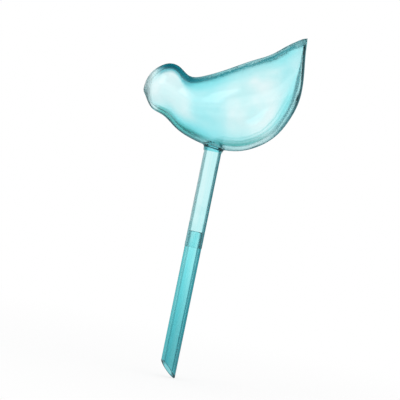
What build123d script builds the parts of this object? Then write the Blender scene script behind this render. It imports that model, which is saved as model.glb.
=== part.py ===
from build123d import *
import os
from typing import NamedTuple

# Bird-shaped watering globe in clear plastic: a hollow bird of two moulded halves, a neck tube
# bonded into its belly, and a spike that plugs into the neck tube and is pushed into the soil.
# Millimetres, +Z up the stem. The origin is on the stem's axis, at the shoulder of the spike
# where the neck tube's rim sits. The beak points to -X, the tail to +X, the left side to -Y.

# Bird, measured in its own level pose, before it leans back on the stem
bird_length = 123.5
bird_height = 84.5
bird_width = 70.0
bird_lean = 11.7
shell_wall = 2.7

# The space inside ends in a point at each end, this far from the tips of beak and tail
beak_inset = 3.0
tail_inset = 14.0

# Joint between the two halves: a lip on the left half laps inside the skin of the right half
lip_depth = 1.6
lip_skin = 1.3
cement_gap = 0.05

# Collar that the two halves form around the neck tube, measured from the stem foot
collar_drop = 3.0
collar_rise = 4.0
collar_wall = 1.2
collar_edge = 0.5
collar_blend = 2.0

# Neck tube
neck_diameter = 13.2
neck_length = 76.5
neck_wall = 1.2
neck_edge_round = 0.4

# Spike
spike_diameter = 12.8
spike_length = 100.0
spike_wall = 2.0
spigot_length = 12.0
spigot_clearance = 0.05
spigot_lead = 0.4
tip_slant = 45.0
tip_turn = 25.0
tip_round = 0.3

# The bird's outline from the side, as shares of its length (from the beak) and its height (from
# the belly). The stem's axis leaves the belly at the stem foot.
beak_tip_shares = (0.0, 0.545)
tail_tip_shares = (1.0, 1.0)
stem_foot_shares = (0.427, 0.029)

# Sections from beak to tail. Each runs from a point of the back line to a point of the belly
# line: along and up for the back, along and up for the belly, then the half width as a share.
section_shares = [
    (0.009, 0.598, 0.012, 0.494, 0.14),
    (0.036, 0.675, 0.030, 0.428, 0.28),
    (0.079, 0.735, 0.058, 0.371, 0.40),
    (0.155, 0.779, 0.121, 0.316, 0.49),
    (0.224, 0.746, 0.191, 0.212, 0.52),
    (0.282, 0.667, 0.276, 0.121, 0.66),
    (0.379, 0.669, 0.382, 0.049, 0.86),
    (0.509, 0.724, 0.515, 0.000, 0.99),
    (0.661, 0.801, 0.661, 0.018, 1.00),
    (0.776, 0.854, 0.797, 0.119, 0.91),
    (0.855, 0.916, 0.891, 0.276, 0.74),
    (0.912, 0.958, 0.953, 0.459, 0.56),
    (0.958, 0.987, 0.980, 0.704, 0.36),
    (0.983, 0.997, 0.991, 0.892, 0.16),
]

# How far the ends of an inset form draw back, as shares of the inset
beak_draw_share = 1.0
tail_draw_share = 2.0

# Sizes that follow from the ones above
neck_radius = neck_diameter / 2
neck_bore_radius = neck_radius - neck_wall
spike_radius = spike_diameter / 2
spike_bore_radius = spike_radius - spike_wall
spigot_radius = neck_bore_radius - spigot_clearance
socket_radius = neck_radius + cement_gap
collar_low = neck_length - collar_drop
collar_high = neck_length + collar_rise


class Section(NamedTuple):
    """One cross-section of the bird: its two ends on the mid-plane and its half width."""

    back: Vector
    belly: Vector
    half_width: float

    @property
    def middle(self):
        return (self.back + self.belly) / 2

    @property
    def height(self):
        return (self.back - self.belly).length


def outline_point(along_share, up_share):
    """A point of the bird's side outline in its level pose, measured from the stem foot."""
    along = (along_share - stem_foot_shares[0]) * bird_length
    up = (up_share - stem_foot_shares[1]) * bird_height
    return Vector(along, 0, up)


def outer_sections():
    """The bird's sections from beak tip to tail tip, with a point at each end."""
    sections = [tip_section(outline_point(*beak_tip_shares))]
    for back_along, back_up, belly_along, belly_up, width_share in section_shares:
        back = outline_point(back_along, back_up)
        belly = outline_point(belly_along, belly_up)
        sections.append(Section(back, belly, width_share * bird_width / 2))
    sections.append(tip_section(outline_point(*tail_tip_shares)))
    return sections


def tip_section(point):
    """An end of the bird, as a section with no size."""
    return Section(point, point, 0)


def inset_tip(tip, neighbour, depth):
    """An end point, moved by depth towards the section beside it."""
    return tip_section(tip.back + (neighbour.middle - tip.back).normalized() * depth)


def inset_sections(sections, depth):
    """The same sections, moved in by depth, square to the outline."""
    inner = [inset_tip(sections[0], sections[1], beak_draw_share * depth)]
    for before, here, after in zip(sections, sections[1:], sections[2:]):
        back_run = (after.back - before.back).normalized()
        belly_run = (after.belly - before.belly).normalized()
        back = here.back + back_run.rotate(Axis.Y, 90) * depth
        belly = here.belly + belly_run.rotate(Axis.Y, -90) * depth
        drawn_in = (here.height - (back - belly).length) / 2
        inner.append(Section(back, belly, here.half_width - drawn_in))
    inner.append(inset_tip(sections[-1], sections[-2], tail_draw_share * depth))
    return inner


def cavity_sections(sections):
    """The sections of the space inside, a wall within the bird. Inset by a wall, the second and
    the last one come too close to the next to loft through, so both are left out."""
    inner = inset_sections(sections, shell_wall)
    inner = [inner[1], *inner[3:-2]]
    beak_end = inset_tip(sections[0], inner[0], beak_inset)
    tail_end = inset_tip(sections[-1], inner[-1], tail_inset)
    return [beak_end, *inner, tail_end]


def bird_form(depth):
    """The bird as a solid, depth inside its outer surface, leaned back on the stem."""
    sections = outer_sections()
    return lofted(inset_sections(sections, depth) if depth else sections)


def cavity_form():
    """The space inside the bird as a solid, leaned back on the stem."""
    return lofted(cavity_sections(outer_sections()))


def lofted(sections):
    """A solid through the sections, from the point at one end to the point at the other."""
    profiles = [Vertex(*sections[0].back)]
    for section in sections[1:-1]:
        rise = section.back - section.belly
        plane = Plane(section.middle, x_dir=rise, z_dir=rise.cross(Vector(0, 1, 0)))
        profiles.append(plane * Ellipse(section.height / 2, section.half_width))
    profiles.append(Vertex(*sections[-1].back))
    return Pos(0, 0, neck_length) * Rot(0, -bird_lean, 0) * loft(profiles)


def rod(radius, low, high):
    """A round rod on the stem's axis."""
    return Pos(0, 0, low) * extrude(Circle(radius), high - low)


def slab(low, high):
    """A slab that takes in the whole bird, from low to high across it."""
    reach = 2 * (bird_length + bird_height)
    return Pos(0, (low + high) / 2, neck_length) * Box(reach, high - low, reach)


def collar():
    """The tapered collar around the neck tube, thin at its lower edge."""
    profile = Polyline(
        (0, collar_low),
        (socket_radius + collar_edge, collar_low),
        (socket_radius + collar_wall, collar_high),
        (0, collar_high),
        close=True,
    )
    return revolve(make_face(Plane.XZ * profile), Axis.Z)


def bird_shell():
    """The whole hollow bird with its collar, before it is parted on the mid-plane."""
    body = bird_form(0) + collar()
    foot_edge = body.edges().filter_by(GeomType.BSPLINE).sort_by_distance((0, 0, neck_length))[0]
    body = fillet(foot_edge, collar_blend)
    cavity = cavity_form() - collar()
    return body - cavity - rod(socket_radius, 0, collar_high + shell_wall)


def bird_halves():
    """The left and right shells, lapped along the joint but for the stretch at the collar."""
    shell = bird_shell()
    round_collar = rod(socket_radius + collar_wall + collar_blend, 0, collar_high + shell_wall)
    lip = (bird_form(lip_skin) - cavity_form()) & slab(0, lip_depth)
    rebate = bird_form(lip_skin - cement_gap) & slab(0, lip_depth + cement_gap)
    left = shell & slab(-bird_width, 0)
    right = shell & slab(0, bird_width)
    return left + (lip - round_collar), right - (rebate - round_collar)


def neck_tube():
    """The plain upper tube of the stem, from the spike's shoulder into the belly."""
    body = rod(neck_radius, 0, collar_high) - rod(neck_bore_radius, 0, collar_high)
    outer_rim = body.edges().group_by(Axis.Z)[0].sort_by(SortBy.RADIUS)[-1]
    return fillet(outer_rim, neck_edge_round)


def tip_cutter():
    """The block beyond the slanted plane that cuts the spike's open tip."""
    reach = 2 * spike_diameter
    block = Box(2 * reach, 2 * reach, reach, align=(Align.CENTER, Align.CENTER, Align.MAX))
    point = Pos(0, 0, -spike_length) * Rot(0, 0, tip_turn) * Pos(spike_radius, 0, 0)
    return point * Rot(0, tip_slant, 0) * block


def soil_spike():
    """The lower tube: a spigot above the shoulder and a slanted open tip."""
    body = rod(spike_radius, -spike_length, 0) + rod(spigot_radius, 0, spigot_length)
    body = chamfer(body.edges().group_by(Axis.Z)[-1], spigot_lead)
    body = body - rod(spike_bore_radius, -spike_length, spigot_length) - tip_cutter()
    cut_face = body.faces().filter_by(GeomType.PLANE).sort_by(Axis.Z)[0]
    return fillet(cut_face.edges(), tip_round)


def main():
    os.makedirs("parts", exist_ok=True)
    left, right = bird_halves()
    pieces = {
        "left_shell": left,
        "right_shell": right,
        "neck_tube": neck_tube(),
        "soil_spike": soil_spike(),
    }
    for name, piece in pieces.items():
        export_step(piece, f"parts/{name}.step")
        print(name, round(piece.volume), "mm3", "valid" if piece.is_valid else "NOT VALID")


main()
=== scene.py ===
"""The looks of a bird-shaped watering globe in clear turquoise plastic, in a plain pale studio.

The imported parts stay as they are, and each one gets its own plastic. Metres, +Z up the stem,
the bird's beak to -X and its left side to -Y, where the camera stands.
"""

import logging
import math
from dataclasses import dataclass
from enum import Enum

import bpy
from mathutils import Euler, Matrix, Vector


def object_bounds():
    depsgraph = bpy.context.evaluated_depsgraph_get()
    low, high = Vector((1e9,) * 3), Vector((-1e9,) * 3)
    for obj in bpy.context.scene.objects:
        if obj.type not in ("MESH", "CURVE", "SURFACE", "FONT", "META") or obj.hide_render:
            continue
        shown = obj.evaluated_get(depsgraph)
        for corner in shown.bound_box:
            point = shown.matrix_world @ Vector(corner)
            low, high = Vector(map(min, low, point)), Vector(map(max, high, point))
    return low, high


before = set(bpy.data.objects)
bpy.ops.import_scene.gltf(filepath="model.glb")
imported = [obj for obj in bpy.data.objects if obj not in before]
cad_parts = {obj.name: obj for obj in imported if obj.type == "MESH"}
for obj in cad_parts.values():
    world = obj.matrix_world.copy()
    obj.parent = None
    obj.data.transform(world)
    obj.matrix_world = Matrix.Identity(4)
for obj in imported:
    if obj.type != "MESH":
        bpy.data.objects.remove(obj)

CAD_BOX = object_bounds()
LOG = logging.getLogger("watering_globe")

Colour = tuple[float, float, float]
Rgba = tuple[float, float, float, float]
Triple = tuple[float, float, float]
Span = tuple[float, float]
Line = tuple[tuple[float, float], ...]
Node = bpy.types.Node
Outputs = bpy.types.NodeOutputs
Socket = bpy.types.NodeSocket
Amount = Socket | float
Tint = Socket | Rgba

MM = 0.001
RISE = (0.0, 1.0)
FALL = (1.0, 0.0)
WHITE = (1.0, 1.0, 1.0)
ROOM = (0.16, 0.38, 0.42)


class Piece(Enum):
    """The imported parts, by the names of their nodes."""

    LEFT_SHELL = "left_shell"
    RIGHT_SHELL = "right_shell"
    NECK_TUBE = "neck_tube"
    SOIL_SPIKE = "soil_spike"


class Effect(Enum):
    """The shared shader effects, by the names of their node groups."""

    MOULDED_SURFACE = "moulded_surface"
    HANDLING_MARKS = "handling_marks"


def opaque(colour: Colour) -> Rgba:
    """The colour with an alpha of one, as a node's socket takes it."""
    return (*colour, 1.0)


@dataclass(frozen=True)
class Grain:
    """A noise pattern.

    Attributes:
        scale: Waves per unit of its coordinates.
        detail: How many finer layers it has.
        roughness: How strong the finer layers are.
    """

    scale: float
    detail: float = 2.0
    roughness: float = 0.5


@dataclass
class NodeBoard:
    """A node tree with short ways to add and link its nodes.

    Attributes:
        tree: The node tree of a material, a world or a group.
    """

    tree: bpy.types.NodeTree

    def add(self, kind: str, **settings: object) -> Node:
        """Adds a node.

        Args:
            kind: The node's type name, without its ShaderNode prefix.
            **settings: Properties of the node.

        Returns:
            The new node.
        """
        node = self.tree.nodes.new(f"ShaderNode{kind}")
        for name, value in settings.items():
            setattr(node, name, value)
        return node

    def feed(self, socket: Socket, value: object) -> None:
        """Links an output to a socket, or sets the value on it.

        Args:
            socket: The input.
            value: An output, or a value of the input's own kind.
        """
        if isinstance(value, bpy.types.NodeSocket):
            self.tree.links.new(value, socket)
        else:
            socket.default_value = value

    def reckon(self, kind: str, *values: Amount) -> Socket:
        """Adds a math node.

        Args:
            kind: The operation, such as ADD.
            *values: Outputs or numbers for its inputs, in order.

        Returns:
            The node's output.
        """
        node = self.add("Math", operation=kind)
        for socket, value in zip(node.inputs, values):
            self.feed(socket, value)
        return node.outputs["Value"]

    def times(self, first: Amount, *others: Amount) -> Amount:
        """Multiplies values, one after another.

        Args:
            first: The first output or number.
            *others: The ones that it is multiplied by.

        Returns:
            The product's output.
        """
        product = first
        for other in others:
            product = self.reckon("MULTIPLY", product, other)
        return product

    def ramp(self, value: Socket, span: Span, result: Span = RISE) -> Socket:
        """Maps a value smoothly from one range to another, and stays inside it.

        Args:
            value: The output to map.
            span: Where the range starts and where it ends.
            result: The result at its start and at its end.

        Returns:
            The mapped output.
        """
        node = self.add("MapRange", interpolation_type="SMOOTHSTEP")
        self.feed(node.inputs["Value"], value)
        self.feed(node.inputs["From Min"], span[0])
        self.feed(node.inputs["From Max"], span[1])
        self.feed(node.inputs["To Min"], result[0])
        self.feed(node.inputs["To Max"], result[1])
        return node.outputs["Result"]

    def hump(self, value: Socket, rise: Span, fall: Span) -> Amount:
        """Rises to one over the first span of a value, and falls to nought over the second."""
        return self.times(self.ramp(value, rise), self.ramp(value, fall, FALL))

    def curve(self, value: Socket, line: Line) -> Socket:
        """Reads a value off a smooth curve.

        Args:
            value: The output that runs along the curve, from 0 to 1.
            line: The curve's points.

        Returns:
            The curve's height there.
        """
        node = self.add("FloatCurve")
        points = node.mapping.curves[0].points
        points[0].location, points[-1].location = line[0], line[-1]
        for place in line[1:-1]:
            points.new(*place)
        node.mapping.update()
        self.feed(node.inputs["Value"], value)
        return node.outputs["Value"]

    def blend(self, share: Amount, first: Tint, second: Tint, mode: str = "MIX") -> Socket:
        """Mixes two colours.

        Args:
            share: How much of the second there is.
            first: The first colour, as an output or four numbers.
            second: The second colour.
            mode: The blend mode.

        Returns:
            The mixed colour's output.
        """
        node = self.add("Mix", data_type="RGBA", blend_type=mode)
        colours = [socket for socket in node.inputs if socket.type == "RGBA"]
        self.feed(node.inputs[0], share)
        for socket, colour in zip(colours, (first, second)):
            self.feed(socket, colour)
        return next(socket for socket in node.outputs if socket.type == "RGBA")

    def noise(self, place: Socket, grain: Grain) -> Socket:
        """Adds a noise texture.

        Args:
            place: The coordinates.
            grain: The pattern.

        Returns:
            The noise, round 0.5.
        """
        node = self.add("TexNoise")
        self.feed(node.inputs["Vector"], place)
        self.feed(node.inputs["Scale"], grain.scale)
        self.feed(node.inputs["Detail"], grain.detail)
        self.feed(node.inputs["Roughness"], grain.roughness)
        return node.outputs["Fac"]

    def stretched(self, place: Socket, scale: Triple) -> Socket:
        """Scales coordinates.

        Args:
            place: The coordinates.
            scale: The factors along X, Y and Z.

        Returns:
            The scaled coordinates.
        """
        node = self.add("Mapping")
        self.feed(node.inputs["Vector"], place)
        node.inputs["Scale"].default_value = scale
        return node.outputs["Vector"]

    def axes(self, place: Socket) -> Outputs:
        """Splits coordinates.

        Args:
            place: The coordinates.

        Returns:
            The outputs X, Y and Z.
        """
        node = self.add("SeparateXYZ")
        self.feed(node.inputs["Vector"], place)
        return node.outputs

    def distance(self, place: Socket) -> Socket:
        """Measures how far coordinates are from their origin.

        Args:
            place: The coordinates.

        Returns:
            The distance.
        """
        node = self.add("VectorMath", operation="LENGTH")
        self.feed(node.inputs[0], place)
        return node.outputs["Value"]


class EffectShelf:
    """Builds each shared effect once and places it in the materials."""

    WAVES = Grain(55.0, detail=1.0, roughness=0.4)
    FLOW_LINES = Grain(1.0)
    FLOW_STRETCH = (260.0, 260.0, 26.0)
    PATCHES = Grain(38.0)
    PATCH_SPAN = (0.38, 0.66)
    HAZE = Grain(90.0, detail=3.0, roughness=0.6)
    HAZE_SPAN = (0.45, 0.75)
    HAZE_DULLING = 0.03
    SCUFFS = Grain(1.0, detail=1.0)
    SCUFF_STRETCH = (1500.0, 1500.0, 120.0)
    SCUFF_SPAN = (0.66, 0.74)
    SCUFF_DULLING = 0.12

    def place(self, effect: Effect, board: NodeBoard, **values: Amount) -> Node:
        """Places an effect's group in a material.

        Args:
            effect: The effect.
            board: The material's node board.
            **values: Outputs or numbers for the group's inputs.

        Returns:
            The group node.
        """
        group = bpy.data.node_groups.get(effect.value) or self.make(effect)
        node = board.add("Group", node_tree=group)
        for name, value in values.items():
            board.feed(node.inputs[name], value)
        return node

    def make(self, effect: Effect) -> bpy.types.NodeTree:
        """Builds an effect's node group."""
        makers = {
            Effect.MOULDED_SURFACE: self.moulded_surface,
            Effect.HANDLING_MARKS: self.handling_marks,
        }
        return makers[effect]()

    def empty_group(self, effect: Effect, inputs: tuple[str, ...], outputs: tuple[str, ...],
                    places: tuple[str, ...] = ("Place",)) -> tuple[NodeBoard, Node, Node]:
        """Makes an empty group with its sockets.

        Args:
            effect: The effect that it is for.
            inputs: The inputs for numbers.
            outputs: The outputs, all numbers.
            places: The inputs for coordinates.

        Returns:
            The group's board, its input node and its output node.
        """
        group = bpy.data.node_groups.new(effect.value, "ShaderNodeTree")
        for name in places:
            group.interface.new_socket(name, in_out="INPUT", socket_type="NodeSocketVector")
        for name in inputs:
            group.interface.new_socket(name, in_out="INPUT", socket_type="NodeSocketFloat")
        for name in outputs:
            group.interface.new_socket(name, in_out="OUTPUT", socket_type="NodeSocketFloat")
        entry = group.nodes.new("NodeGroupInput")
        leave = group.nodes.new("NodeGroupOutput")
        return NodeBoard(group), entry, leave

    def moulded_surface(self) -> bpy.types.NodeTree:
        """Slow waves and faint flow lines of moulded plastic, with an uneven tint.

        Returns:
            The group.
        """
        board, entry, leave = self.empty_group(
            Effect.MOULDED_SURFACE, inputs=("Wave", "Flow"), outputs=("Height", "Tint"),
            places=("Place", "Grain"))
        place = entry.outputs["Place"]
        waves = board.noise(place, self.WAVES)
        lines = board.noise(board.stretched(place, self.FLOW_STRETCH), self.FLOW_LINES)
        height = board.reckon(
            "ADD",
            board.times(waves, entry.outputs["Wave"]),
            board.times(lines, entry.outputs["Flow"]))
        patches = board.noise(entry.outputs["Grain"], self.PATCHES)
        board.feed(leave.inputs["Height"], height)
        board.feed(leave.inputs["Tint"], board.ramp(patches, self.PATCH_SPAN))
        return board.tree

    def handling_marks(self) -> bpy.types.NodeTree:
        """Fine scuffs and a patchy haze from handling.

        Returns:
            The group.
        """
        board, entry, leave = self.empty_group(
            Effect.HANDLING_MARKS, inputs=("Amount",), outputs=("Roughness", "Scuff"))
        place, amount = entry.outputs["Place"], entry.outputs["Amount"]
        haze = board.ramp(board.noise(place, self.HAZE), self.HAZE_SPAN)
        lines = board.noise(board.stretched(place, self.SCUFF_STRETCH), self.SCUFFS)
        scuffs = board.times(board.ramp(lines, self.SCUFF_SPAN), haze)
        dull = board.reckon(
            "ADD", board.times(haze, self.HAZE_DULLING), board.times(scuffs, self.SCUFF_DULLING))
        board.feed(leave.inputs["Roughness"], board.times(dull, amount))
        board.feed(leave.inputs["Scuff"], board.times(scuffs, amount))
        return board.tree


SHELF = EffectShelf()


@dataclass(frozen=True)
class ClearPlastic:
    """A clear tinted plastic, coloured by its depth, with painted shade in a band and a dark
    outline where the view glances.

    Attributes:
        name: The material's name.
        seen: The colour of white light behind a plate of the plastic.
        plate: The thickness of that plate.
        band_shade_tint: What a face lets through in the band inside the outline: painted shade,
            partly the deeper colour of the longer path through the plastic.
        band: How glancing a view is where the band starts and where it is full.
        edge_shade_tint: What a face lets through at the outline: a painted dark outline, the shade
            of dark surroundings seen through the plastic.
        edge: How glancing a view is where the outline starts and where it is full.
        patch_tint: What a face lets through in the uneven patches of its tint.
        wave: The height of the slow waves in the surface, in millimetres.
        flow: The height of the flow lines, in millimetres.
        marks: The amount of handling marks.
        streaks: How much the pattern of the tint is stretched into streaks along the piece.
        roughness: Roughness of the polished face.
        ior: Refractive index.
    """

    name: str
    seen: Colour
    plate: float
    band_shade_tint: Colour
    band: Span
    edge_shade_tint: Colour
    edge: Span
    patch_tint: Colour
    wave: float
    flow: float
    marks: float
    streaks: Triple = (1.0, 1.0, 1.0)
    roughness: float = 0.015
    ior: float = 1.49

    # The density is a little above the strongest loss, so that no channel of the tint is nought
    DENSITY_MARGIN = 1.05
    # With this blend, Facing is nought where a face is seen square on and one at the outline
    FACING_BLEND = 0.5
    # In millimetres, as the waves and the flow lines are
    SCUFF_DEPTH = 0.01

    def absorption(self) -> tuple[Colour, float]:
        """Works out the tint and the density that give the plate its colour.

        Returns:
            The absorption colour and the density per metre.
        """
        per_metre = [-math.log(share) / self.plate for share in self.seen]
        density = self.DENSITY_MARGIN * max(per_metre)
        return tuple(1 - loss / density for loss in per_metre), density

    def edge_shade_strength(self, board: NodeBoard, place: Socket) -> Amount:
        """How strong the painted shade bands inside the outline are in each place."""
        return 1.0

    def deepened(self, board: NodeBoard, place: Socket, colour: Socket) -> Socket:
        """The colour, deepened in places; here it stays as it is."""
        return colour

    def lined(self, board: NodeBoard, place: Socket, facing: Socket, colour: Socket) -> Socket:
        """The colour, with the painted shade lines that show inside the outline."""
        return colour

    def dulled(self, board: NodeBoard, place: Socket) -> Amount:
        """How much rougher each place is than the polished face."""
        return 0.0

    def material(self) -> bpy.types.Material:
        """Builds the plastic's node tree.

        Returns:
            The new material.
        """
        made = bpy.data.materials.new(self.name)
        made.use_nodes = True
        board = NodeBoard(made.node_tree)
        surface = made.node_tree.nodes["Principled BSDF"]
        surface.inputs["Transmission Weight"].default_value = 1.0
        surface.inputs["IOR"].default_value = self.ior
        place = board.add("TexCoord").outputs["Object"]
        moulded = SHELF.place(
            Effect.MOULDED_SURFACE, board, Place=place, Wave=self.wave, Flow=self.flow,
            Grain=board.stretched(place, self.streaks))
        marks = SHELF.place(Effect.HANDLING_MARKS, board, Place=place, Amount=self.marks)

        board.feed(surface.inputs["Base Color"], self.colour(board, place, moulded.outputs["Tint"]))
        dull = board.reckon("ADD", marks.outputs["Roughness"], self.roughness)
        dull = board.reckon("ADD", dull, self.dulled(board, place))
        board.feed(surface.inputs["Roughness"], dull)

        bump = board.add("Bump")
        bump.inputs["Strength"].default_value = 1.0
        bump.inputs["Distance"].default_value = MM
        scratches = board.times(marks.outputs["Scuff"], self.SCUFF_DEPTH)
        height = board.reckon("SUBTRACT", moulded.outputs["Height"], scratches)
        board.feed(bump.inputs["Height"], height)
        board.feed(surface.inputs["Normal"], bump.outputs["Normal"])

        depth = board.add("VolumeAbsorption")
        tint, density = self.absorption()
        depth.inputs["Color"].default_value = opaque(tint)
        depth.inputs["Density"].default_value = density
        result = made.node_tree.nodes["Material Output"]
        board.feed(result.inputs["Volume"], depth.outputs["Volume"])
        return made

    def colour(self, board: NodeBoard, place: Socket, patches: Socket) -> Socket:
        """Works out what a face lets through in each place, with the painted shade inside the
        outline.

        Args:
            board: The material's node board.
            place: Object coordinates.
            patches: The uneven patches of the tint.

        Returns:
            The colour.
        """
        glance = board.add("LayerWeight")
        glance.inputs["Blend"].default_value = self.FACING_BLEND
        facing = glance.outputs["Facing"]
        # Painted shade: a deeper band inside the outline and a dark outline where the view glances,
        # standing in for dark surroundings seen through the plastic.
        strength = self.edge_shade_strength(board, place)
        band = board.times(board.ramp(facing, self.band), strength)
        edge = board.times(board.ramp(facing, self.edge), strength)
        colour = board.blend(patches, opaque(WHITE), opaque(self.patch_tint))
        colour = self.deepened(board, place, colour)
        colour = board.blend(band, colour, opaque(self.band_shade_tint))
        colour = self.lined(board, place, facing, colour)
        return board.blend(edge, colour, opaque(self.edge_shade_tint))

    def dress(self, piece: Piece) -> None:
        """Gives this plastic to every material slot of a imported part.

        Args:
            piece: The part.
        """
        plastic = bpy.data.materials.get(self.name) or self.material()
        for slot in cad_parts[piece.value].material_slots:
            slot.material = plastic
        LOG.info("%s: %s", piece.value, self.name)


@dataclass(frozen=True)
class Zone:
    """A zone of the bird's side view, along a line of its outline.

    Attributes:
        along: How strong the zone is from the beak to the tail.
        reach: Where it starts and stops changing, away from the line, as shares of the height.
        strength: How strong it is at those two places.
    """

    along: Line
    reach: Span
    strength: Span = FALL

    def mask(self, board: NodeBoard, along: Socket, away: Socket) -> Amount:
        """How strong the zone is at a point so far along the bird and so far away from the line."""
        near = board.ramp(away, self.reach, self.strength)
        return board.times(near, board.curve(along, self.along))


@dataclass(frozen=True)
class ShellPlastic(ClearPlastic):
    """The bird's plastic: deeper in colour under the back and along the breast, with painted shade
    there and in lines inside the outline, pale in the head.

    Attributes:
        length: The bird's length in its level pose.
        height: Its height in that pose.
        lean: How far it leans back on the stem, in radians.
        foot_up: Where the stem's axis leaves the belly, up from the origin.
        foot: That place, as shares of the length and the height.
        thickness_and_shade_tint: What a face lets through under the back and along the breast:
            painted shade, partly the thicker plastic there.
        body_tint: What a face lets through in the body and the tail.
        rear_shade_line_tint: What a face lets through on the line inside the rear: a painted shade
            line.
        keel_shade_line_tint: What a face lets through on the line along the keel: a painted shade
            line.
        crown_shade_line_tint: What a face lets through on the line at the crown: a painted shade
            line.
        tip_roughness: How much rougher the tips are than the polished face.
    """

    length: float = 123.5 * MM
    height: float = 84.5 * MM
    lean: float = math.radians(11.7)
    foot_up: float = 76.5 * MM
    foot: Span = (0.427, 0.029)
    thickness_and_shade_tint: Colour = (0.42, 0.86, 0.90)
    body_tint: Colour = (0.80, 0.965, 0.98)
    rear_shade_line_tint: Colour = (0.13, 0.60, 0.60)
    keel_shade_line_tint: Colour = (0.03, 0.36, 0.32)
    crown_shade_line_tint: Colour = (0.02, 0.34, 0.42)
    tip_roughness: float = 0.45

    # The outline from the side, from beak to tail, as shares of the length and the height
    BACK_LINE = (
        (0.0, 0.545), (0.036, 0.675), (0.079, 0.735), (0.155, 0.779), (0.224, 0.746),
        (0.282, 0.667), (0.379, 0.669), (0.509, 0.724), (0.661, 0.801), (0.776, 0.854),
        (0.855, 0.916), (0.912, 0.958), (0.958, 0.987), (1.0, 1.0))
    BELLY_LINE = (
        (0.0, 0.545), (0.03, 0.428), (0.058, 0.371), (0.121, 0.316), (0.191, 0.212),
        (0.276, 0.121), (0.382, 0.049), (0.515, 0.0), (0.661, 0.018), (0.797, 0.119),
        (0.891, 0.276), (0.953, 0.459), (0.98, 0.704), (1.0, 1.0))

    # Under the back line: the painted dark edge, the thick back with its painted shade, the crown's
    # painted shade line and the rear's painted shade ring
    EDGE = Zone(
        ((0.0, 0.1), (0.06, 0.2), (0.14, 0.8), (0.3, 0.9), (0.45, 0.6), (0.6, 0.3), (0.72, 0.35),
         (0.85, 0.95), (1.0, 1.0)), reach=(0.02, 0.12), strength=(0.75, 1.0))
    BACK = Zone(
        ((0.0, 0.0), (0.2, 0.05), (0.3, 1.0), (0.42, 0.85), (0.6, 0.5), (0.8, 0.35), (0.92, 0.1),
         (1.0, 0.0)), reach=(0.02, 0.17))
    CROWN = Zone(
        ((0.0, 0.0), (0.06, 0.0), (0.11, 1.0), (0.25, 1.0), (0.33, 0.2), (0.5, 0.0), (1.0, 0.0)),
        reach=(0.02, 0.07))
    REAR = Zone(
        ((0.0, 0.0), (0.4, 0.0), (0.52, 0.6), (0.7, 0.8), (0.85, 0.6), (0.92, 0.2), (1.0, 0.0)),
        reach=(0.2, 0.4), strength=RISE)

    # Above the belly line: the thick breast with its painted shade and the painted shade lines
    # along the chest and the keel
    BREAST = Zone(
        ((0.0, 0.0), (0.1, 0.1), (0.2, 0.9), (0.3, 1.0), (0.42, 0.45), (0.55, 0.2), (0.75, 0.0),
         (1.0, 0.0)), reach=(0.02, 0.2))
    CHEST = Zone(
        ((0.0, 0.0), (0.06, 0.0), (0.11, 1.0), (0.25, 1.0), (0.34, 0.65), (0.42, 0.3), (0.5, 0.1),
         (0.6, 0.0), (1.0, 0.0)), reach=(0.04, 0.12))
    KEEL = Zone(
        ((0.0, 0.0), (0.4, 0.0), (0.46, 0.9), (0.62, 1.0), (0.76, 0.6), (0.9, 0.0), (1.0, 0.0)),
        reach=(0.04, 0.12))

    # The deeper body, from beak to tail
    BODY = (
        (0.0, 0.0), (0.24, 0.1), (0.36, 1.0), (0.48, 0.75), (0.58, 0.0), (0.76, 0.0), (0.9, 1.0),
        (1.0, 0.7))

    # How glancing a view is where the lines start and end
    REAR_RING = ((0.35, 0.40), (0.41, 0.46))
    KEEL_RING = ((0.42, 0.47), (0.54, 0.62))
    CHEST_START = (0.38, 0.46)
    REAR_SHARE = 0.7

    # Where the edge weakens at the tail's tip and round the stem foot, and how far
    TAIL_FADE = (0.87, 0.95)
    FOOT_FADE = (9.0 * MM, 14.0 * MM)
    FOOT_SHARES = (0.3, 1.0)

    # Where the dull tips of the tail and the beak start and end
    TAIL_TIP = (0.92, 0.96)
    BEAK_TIP = (0.03, 0.06)

    def shares(self, board: NodeBoard, place: Socket) -> tuple[Socket, Socket]:
        """Works out where a point is in the bird's level pose.

        Args:
            board: The material's node board.
            place: Object coordinates.

        Returns:
            How far along it is from the beak and how far up from the belly, as shares.
        """
        level = board.add("Mapping", vector_type="POINT")
        board.feed(level.inputs["Vector"], place)
        level.inputs["Rotation"].default_value = (0.0, self.lean, 0.0)
        level.inputs["Location"].default_value = (
            -self.foot_up * math.sin(self.lean), 0.0, -self.foot_up * math.cos(self.lean))
        axes = board.axes(level.outputs["Vector"])
        along = board.reckon("MULTIPLY_ADD", axes["X"], 1 / self.length, self.foot[0])
        up = board.reckon("MULTIPLY_ADD", axes["Z"], 1 / self.height, self.foot[1])
        return along, up

    def below_back(self, board: NodeBoard, along: Socket, up: Socket) -> Socket:
        """How far a point is below the back line, as a share of the height."""
        return board.reckon("SUBTRACT", board.curve(along, self.BACK_LINE), up)

    def above_belly(self, board: NodeBoard, along: Socket, up: Socket) -> Socket:
        """How far a point is above the belly line, as a share of the height."""
        return board.reckon("SUBTRACT", up, board.curve(along, self.BELLY_LINE))

    def edge_shade_strength(self, board: NodeBoard, place: Socket) -> Amount:
        """Painted shade at the outline: strong at the breast and the rear, weak at the face, the
        stem foot and the tail's tip.

        Args:
            board: The material's node board.
            place: Object coordinates.

        Returns:
            The share of the painted shade bands in each place.
        """
        along, up = self.shares(board, place)
        off_axis = board.distance(board.stretched(place, (1.0, 1.0, 0.0)))
        return board.times(
            self.EDGE.mask(board, along, self.below_back(board, along, up)),
            board.ramp(up, self.TAIL_FADE, FALL),
            board.ramp(off_axis, self.FOOT_FADE, self.FOOT_SHARES))

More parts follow.
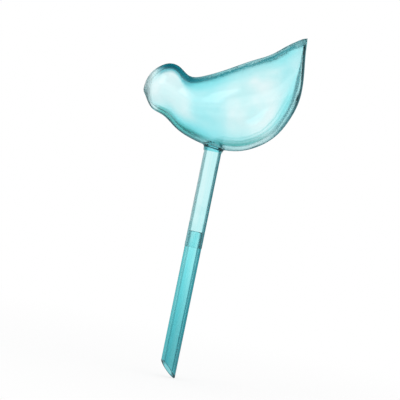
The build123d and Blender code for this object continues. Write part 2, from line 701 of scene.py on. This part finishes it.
    def dulled(self, board: NodeBoard, place: Socket) -> Amount:
        """Dull at the tips of the tail and the beak.

        Args:
            board: The material's node board.
            place: Object coordinates.

        Returns:
            How much rougher each place is.
        """
        along, up = self.shares(board, place)
        tail = board.ramp(up, self.TAIL_TIP)
        beak = board.ramp(along, self.BEAK_TIP, FALL)
        return board.times(board.reckon("MAXIMUM", tail, beak), self.tip_roughness)

    def deepened(self, board: NodeBoard, place: Socket, colour: Socket) -> Socket:
        """Deepens the colour in the body, and with painted shade along the breast and under the
        back, partly the thicker plastic there.

        Args:
            board: The material's node board.
            place: Object coordinates.
            colour: The colour so far.

        Returns:
            The deepened colour.
        """
        along, up = self.shares(board, place)
        back = self.BACK.mask(board, along, self.below_back(board, along, up))
        breast = self.BREAST.mask(board, along, self.above_belly(board, along, up))
        body = board.curve(along, self.BODY)
        colour = board.blend(body, colour, opaque(self.body_tint), "MULTIPLY")
        # Painted shade under the back and along the breast, partly the thicker plastic there.
        return board.blend(board.reckon("MAXIMUM", back, breast), colour, opaque(self.thickness_and_shade_tint))

    def lined(self, board: NodeBoard, place: Socket, facing: Socket, colour: Socket) -> Socket:
        """Draws painted shade lines at the crown, inside the rear and along the keel from the
        breast.

        Args:
            board: The material's node board.
            place: Object coordinates.
            facing: How glancing the view is.
            colour: The colour so far.

        Returns:
            The colour with its painted shade lines.
        """
        along, up = self.shares(board, place)
        below = self.below_back(board, along, up)
        above = self.above_belly(board, along, up)
        rear = board.times(board.hump(facing, *self.REAR_RING), self.REAR.mask(board, along, below))
        chest = self.CHEST.mask(board, along, above)
        chest = board.times(chest, board.ramp(facing, self.CHEST_START))
        keel = board.times(board.hump(facing, *self.KEEL_RING), self.KEEL.mask(board, along, above))
        crown = self.CROWN.mask(board, along, below)
        # Painted shade: dark lines where the view through the walls glances, at the rear, the
        # chest, the keel and the crown.
        colour = board.blend(board.times(rear, self.REAR_SHARE), colour, opaque(self.rear_shade_line_tint))
        colour = board.blend(board.reckon("MAXIMUM", chest, keel), colour, opaque(self.keel_shade_line_tint))
        return board.blend(crown, colour, opaque(self.crown_shade_line_tint))


@dataclass(frozen=True)
class TubePlastic(ClearPlastic):
    """A tube's plastic, with a painted shade edge that is darker on its rear side.

    Attributes:
        reach: The tube's outer radius.
        beak_side_shade_share: How strong the painted shade at the edge is on the side below the
            beak.
    """

    reach: float = 6.6 * MM
    beak_side_shade_share: float = 0.78

    def edge_shade_strength(self, board: NodeBoard, place: Socket) -> Amount:
        """Painted shade at the edge: full on the side below the tail and weaker on the other side,
        where more light falls.
        """
        # Painted shade: the outline is darker on the side below the tail than on the lit side below
        # the beak.
        span, shares = (-self.reach, self.reach), (self.beak_side_shade_share, 1.0)
        return board.ramp(board.axes(place)["X"], span, shares)


@dataclass(frozen=True)
class SpikePlastic(TubePlastic):
    """The spike's plastic: deeper in colour towards the tip.

    Attributes:
        low: How high the deepest colour ends and the common colour starts.
        low_tint: What a face lets through at the tip.
    """

    low: Span = (-105.0 * MM, 0.0 * MM)
    low_tint: Colour = (0.54, 0.71, 0.73)

    def deepened(self, board: NodeBoard, place: Socket, colour: Socket) -> Socket:
        """Deepens the colour towards the tip."""
        down = board.ramp(board.axes(place)["Z"], self.low, FALL)
        return board.blend(down, colour, opaque(self.low_tint), "MULTIPLY")


@dataclass
class Bird:
    """The hollow bird: its two cemented halves.

    Attributes:
        plastic: The plastic of both halves.
    """

    plastic: ShellPlastic = ShellPlastic(
        name="shell_clear", seen=(0.835, 0.98, 0.99), plate=5.4 * MM,
        band_shade_tint=(0.50, 0.93, 0.95), band=(0.22, 0.5),
        edge_shade_tint=(0.002, 0.06, 0.08), edge=(0.54, 0.74),
        patch_tint=(0.84, 0.975, 0.98), wave=0.35, flow=0.0, marks=0.6)

    def dress(self) -> None:
        """Gives both halves the bird's plastic."""
        for piece in (Piece.LEFT_SHELL, Piece.RIGHT_SHELL):
            self.plastic.dress(piece)


@dataclass
class Stem:
    """The pale neck tube and the deep turquoise spike that plugs into it.

    Attributes:
        tube: The neck tube's plastic.
        spike: The spike's plastic.
    """

    tube: TubePlastic = TubePlastic(
        name="tube_clear", seen=(0.68, 0.94, 0.95), plate=2.4 * MM,
        band_shade_tint=(0.60, 0.93, 0.95), band=(0.2, 0.4),
        edge_shade_tint=(0.003, 0.045, 0.06), edge=(0.32, 0.46),
        patch_tint=(0.76, 0.955, 0.965), wave=0.15, flow=0.1, marks=0.8, streaks=(4.5, 1.0, 0.2))
    spike: SpikePlastic = SpikePlastic(
        name="spike_clear", seen=(0.44, 0.935, 0.95), plate=4.0 * MM,
        band_shade_tint=(0.60, 0.92, 0.94), band=(0.25, 0.45),
        edge_shade_tint=(0.012, 0.10, 0.13), edge=(0.22, 0.35), beak_side_shade_share=0.60,
        patch_tint=(0.62, 0.90, 0.925), wave=0.15, flow=0.1, marks=1.2, streaks=(4.5, 1.0, 0.2))

    def dress(self) -> None:
        """Gives each tube its own plastic."""
        self.tube.dress(Piece.NECK_TUBE)
        self.spike.dress(Piece.SOIL_SPIKE)


@dataclass
class Studio:
    """The floor, the world, the lamp and the camera.

    Attributes:
        picture_share: How much of the picture the object's height takes.
        camera_distance: How far the camera stands from the object.
        camera_roll: How far the camera is turned, in radians.
        sensor_width: The width of the camera's sensor, in its own millimetres.
        floor_radius: The radius of the floor.
        floor_sides: The number of its sides.
        floor_colour: The floor's colour in the light of the lamp.
        glow_reach: How far from the stem the floor's shadow starts to give way to white and ends.
        glow_shares: How much of the white there is at those two places.
        overhead_rise: How high the dark zone starts and is full, as the Z of a direction.
        zenith_rise: How high it weakens again.
        zenith_shares: How strong it is at those two heights.
        overhead_side: How far to the beak's side it ends, as the X of a direction.
        overhead_colour: Its colour.
        room_depth: How far behind the object the mirrored room starts, as the Y of a direction.
        room_side: How far to the beak's side the room ends, as the X of a direction.
        lamp_size: The lamp's width and height.
        lamp_power: The lamp's power.
        lamp_place: Where the lamp stands.
        lamp_aim: The place that it points to.
    """

    picture_share: float = 0.90
    camera_distance: float = 1.6
    camera_roll: float = math.radians(11.66)
    sensor_width: float = 36.0
    floor_radius: float = 12.0
    floor_sides: int = 96
    floor_colour: Colour = (0.9, 0.9, 0.9)
    glow_reach: Span = (0.12, 0.7)
    glow_shares: Span = (0.75, 1.0)
    overhead_rise: Span = (0.34, 0.5)
    zenith_rise: Span = (0.75, 0.95)
    zenith_shares: Span = (1.0, 0.6)
    overhead_side: Span = (-0.55, -0.35)
    overhead_colour: Colour = (0.08, 0.34, 0.38)
    room_depth: Span = (0.0, 0.4)
    room_side: Span = (-0.5, -0.15)
    lamp_size: Span = (0.6, 0.9)
    lamp_power: float = 2.0
    lamp_place: Triple = (-0.9, -0.9, 0.9)
    lamp_aim: Triple = (0.0, 0.0, 0.05)

    def build(self) -> None:
        """Sets the whole studio round the object."""
        self.floor()
        self.world()
        self.lamp()
        self.camera()

    def floor(self) -> None:
        """Lays a pale floor just under the tip."""
        bpy.ops.object.select_all(action="DESELECT")
        bpy.ops.mesh.primitive_circle_add(vertices=self.floor_sides, radius=self.floor_radius,
                                          fill_type="NGON", location=(0, 0, CAD_BOX[0].z))
        floor = bpy.context.object
        floor.name = "floor"
        floor.data.materials.append(self.floor_material())

    def floor_material(self) -> bpy.types.Material:
        """Builds a material that is matt to the lamp and white to the camera and in the plastic.

        Returns:
            The new material.
        """
        made = bpy.data.materials.new("pale_floor")
        made.use_nodes = True
        board = NodeBoard(made.node_tree)
        matt = made.node_tree.nodes["Principled BSDF"]
        matt.inputs["Base Color"].default_value = opaque(self.floor_colour)
        matt.inputs["Roughness"].default_value = 1.0
        matt.inputs["Specular IOR Level"].default_value = 0.0
        glow = board.add("Emission")
        rays = board.add("LightPath").outputs
        tint = board.blend(self.is_mirrored(board, rays), opaque(WHITE), opaque(ROOM))
        board.feed(glow.inputs["Color"], tint)
        seen = board.reckon("MAXIMUM", rays["Is Camera Ray"], rays["Is Transmission Ray"])
        seen = board.reckon("MAXIMUM", seen, rays["Is Glossy Ray"])
        away = board.distance(board.add("TexCoord").outputs["Object"])
        share = board.ramp(away, self.glow_reach, self.glow_shares)
        mix = board.add("MixShader")
        board.feed(mix.inputs["Fac"], board.times(seen, share))
        board.feed(mix.inputs[1], matt.outputs["BSDF"])
        board.feed(mix.inputs[2], glow.outputs["Emission"])
        result = made.node_tree.nodes["Material Output"]
        board.feed(result.inputs["Surface"], mix.outputs["Shader"])
        return made

    def world(self) -> None:
        """Makes a white horizon, darker overhead, with a dim room in what the plastic mirrors."""
        world = bpy.data.worlds.new("studio")
        bpy.context.scene.world = world
        world.use_nodes = True
        board = NodeBoard(world.node_tree)
        backdrop = world.node_tree.nodes["Background"]
        axes = board.axes(board.add("TexCoord").outputs["Generated"])
        dark = board.times(
            board.ramp(axes["Z"], self.overhead_rise),
            board.ramp(axes["Z"], self.zenith_rise, self.zenith_shares),
            board.ramp(axes["X"], self.overhead_side))
        sky = board.blend(dark, opaque(WHITE), opaque(self.overhead_colour))
        behind = board.times(
            board.ramp(axes["Y"], self.room_depth), board.ramp(axes["X"], self.room_side))
        room = board.blend(behind, opaque(WHITE), opaque(ROOM))
        mirrored = board.blend(1.0, sky, room, "MULTIPLY")
        rays = board.add("LightPath").outputs
        seen = board.blend(rays["Is Transmission Ray"], opaque(WHITE), sky)
        seen = board.blend(self.is_mirrored(board, rays), seen, mirrored)
        board.feed(backdrop.inputs["Color"], seen)
        backdrop.inputs["Strength"].default_value = 1.0

    def is_mirrored(self, board: NodeBoard, rays: Outputs) -> Socket:
        """One for a ray that a glossy face has mirrored, nought for one that came through it."""
        only = board.reckon("SUBTRACT", rays["Is Glossy Ray"], rays["Is Transmission Ray"])
        return board.reckon("MAXIMUM", only, 0.0)

    def lamp(self) -> None:
        """Hangs a large soft lamp to the upper left of the camera."""
        light = bpy.data.lights.new("key_lamp", "AREA")
        light.shape = "RECTANGLE"
        light.size, light.size_y = self.lamp_size
        light.energy = self.lamp_power
        lamp = bpy.data.objects.new("key_lamp", light)
        bpy.context.scene.collection.objects.link(lamp)
        lamp.location = self.lamp_place
        aim = Vector(self.lamp_aim) - lamp.location
        lamp.rotation_euler = aim.to_track_quat("-Z", "Y").to_euler()

    def camera(self) -> None:
        """Sets a level camera square to the bird's left side, rolled so that the stem leans."""
        low, high = CAD_BOX
        centre = (low + high) / 2
        lens = bpy.data.cameras.new("camera")
        lens.sensor_width = self.sensor_width
        width = (high.z - low.z) / self.picture_share
        lens.lens = lens.sensor_width * self.camera_distance / width
        seat = bpy.data.objects.new("camera", lens)
        bpy.context.scene.collection.objects.link(seat)
        level = Euler((math.radians(90), 0, 0)).to_matrix()
        roll = Matrix.Rotation(-self.camera_roll, 3, "Y")
        place = Matrix.Translation(centre - Vector((0, self.camera_distance, 0)))
        seat.matrix_world = place @ (roll @ level).to_4x4()
        bpy.context.scene.camera = seat
        bpy.context.scene.view_settings.view_transform = "Standard"


def main() -> None:
    """Dresses the parts and sets the studio."""
    logging.basicConfig(level=logging.INFO, format="%(message)s")
    Bird().dress()
    Stem().dress()
    Studio().build()


if __name__ == "__main__":
    main()
